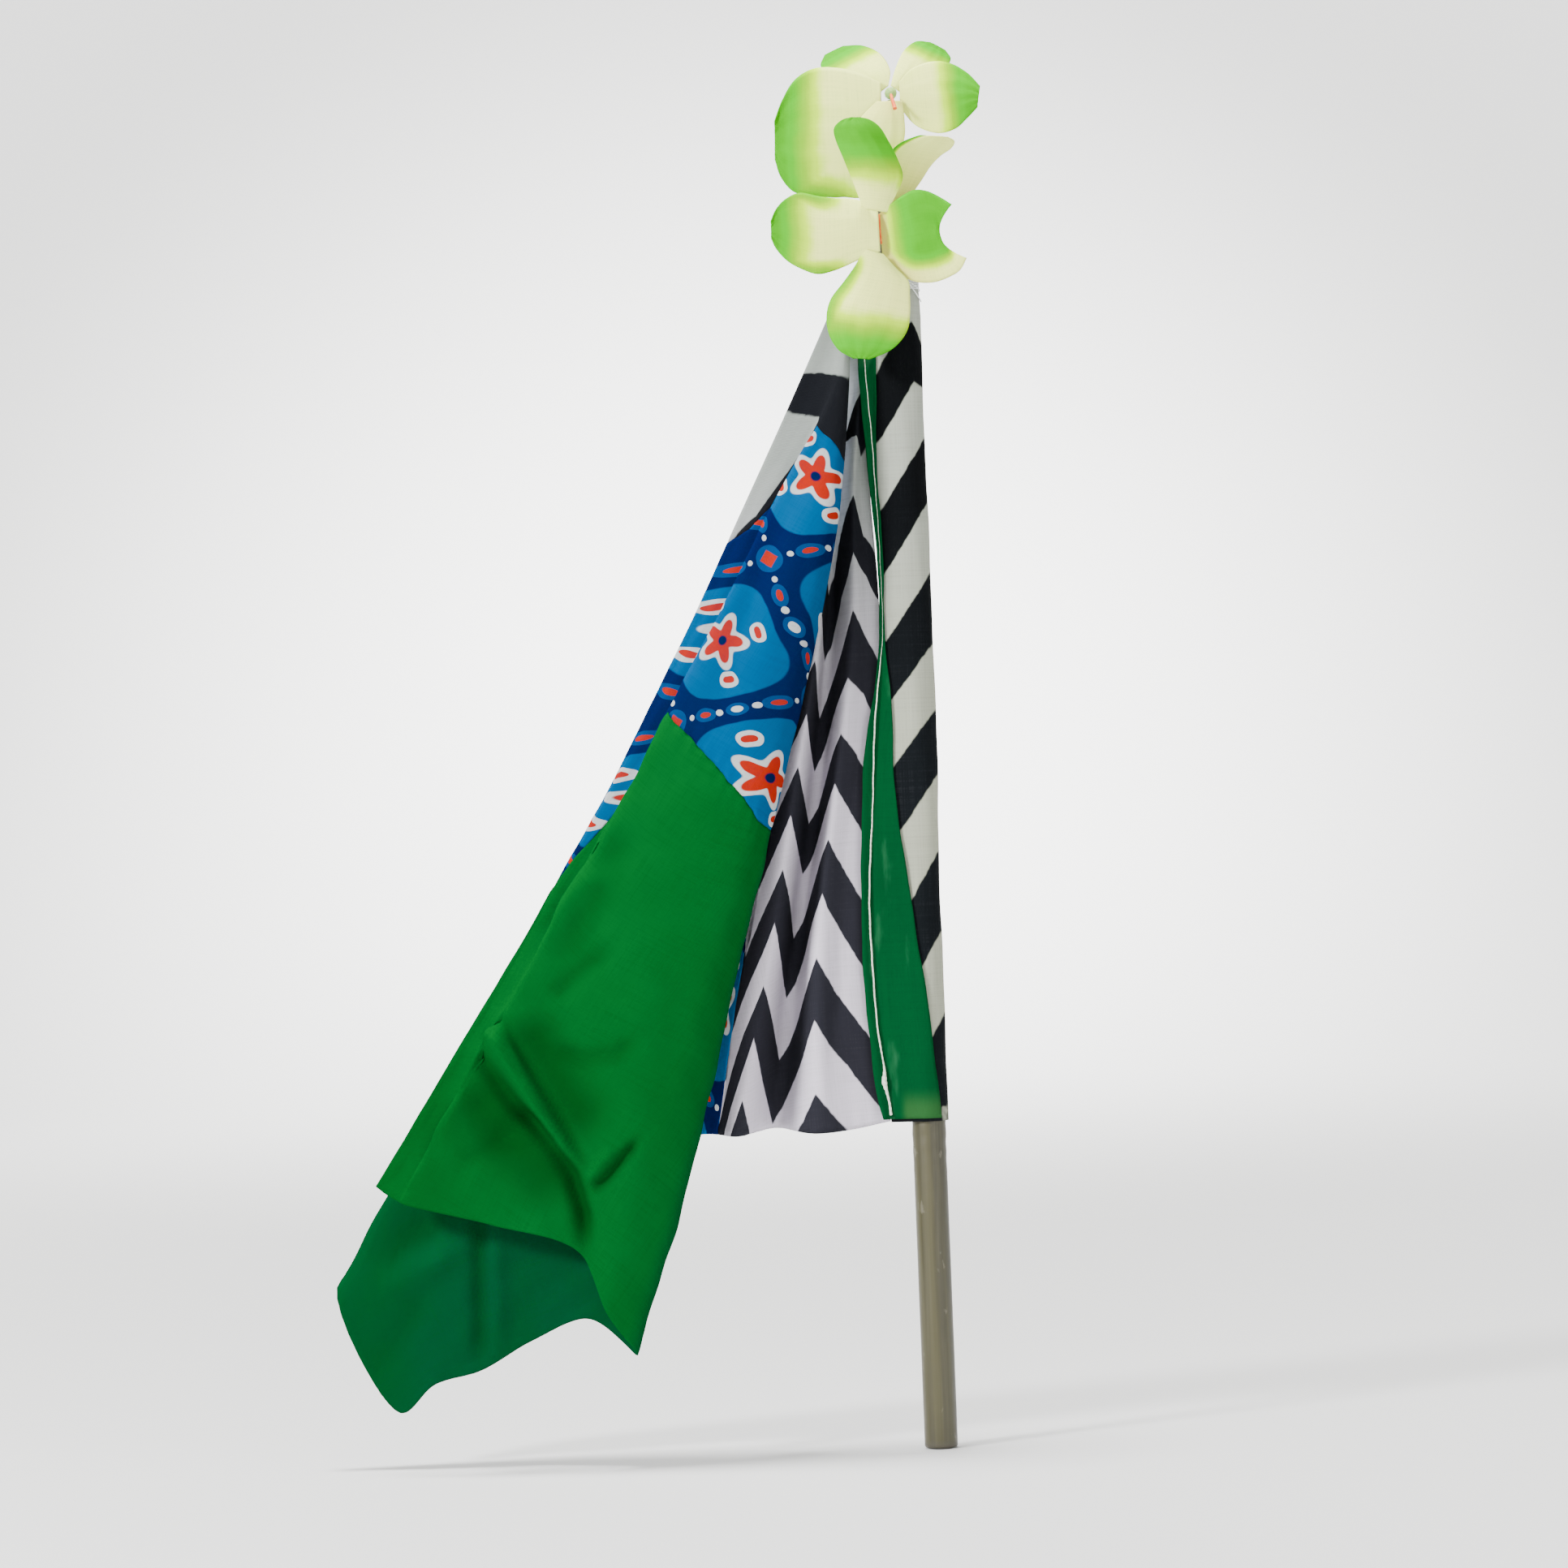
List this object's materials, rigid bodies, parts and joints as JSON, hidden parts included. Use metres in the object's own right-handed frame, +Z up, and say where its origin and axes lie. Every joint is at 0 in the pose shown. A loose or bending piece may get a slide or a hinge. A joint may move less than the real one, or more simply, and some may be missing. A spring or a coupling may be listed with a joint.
{
  "type": "stick flag",
  "caption": "Patchwork cloth flag hanging limp in folds from a plain round stick, with a chevron sleeve, sewn facing strip and cloth flowers tied at the top.",
  "frame": {"origin": "centre of the stick's flat foot", "axes": "+Z up along the stick, -Y towards the viewer, +X to the right; the flag hangs on the -X side"},
  "size_m": [0.3276, 0.0683, 0.6682],
  "materials": {
    "stick": "satin grey-olive lacquer over wood",
    "sleeve": "grey-white woven cloth with black chevron bands",
    "chevron": "woven cloth with black and white chevron bands",
    "print": "printed cotton in blue with navy, white and orange motifs",
    "plain": "plain green woven cotton",
    "facing": "plain green woven cotton strip",
    "cord": "pale twisted cotton cord",
    "thread": "white sewing thread",
    "petal": "fine cloth shaded from cream to lime green",
    "calyx": "matt green",
    "stamen": "matt orange-red"
  },
  "bodies": {
    "root": {"stick": "stick", "stick_sleeve": "sleeve", "chevron_panel": "chevron", "print_panel": "print", "plain_panel": "plain", "facing_strip": "facing", "facing_cord": "cord", "tie_thread": "thread", "lower_flower_petal_left": "petal", "lower_flower_petal_bottom": "petal", "lower_flower_petal_right": "petal", "lower_flower_petal_top": "petal", "lower_flower_petal_upper_right": "petal", "lower_flower_heart": "calyx", "lower_flower_calyx": "calyx", "lower_flower_stamen": "stamen", "upper_flower_petal_left": "petal", "upper_flower_petal_bottom": "petal", "upper_flower_petal_right": "petal", "upper_flower_petal_upper_left": "petal", "upper_flower_petal_upper_right": "petal", "upper_flower_heart": "calyx", "upper_flower_calyx": "calyx", "upper_flower_stamen": "stamen"}
  },
  "joints": []
}
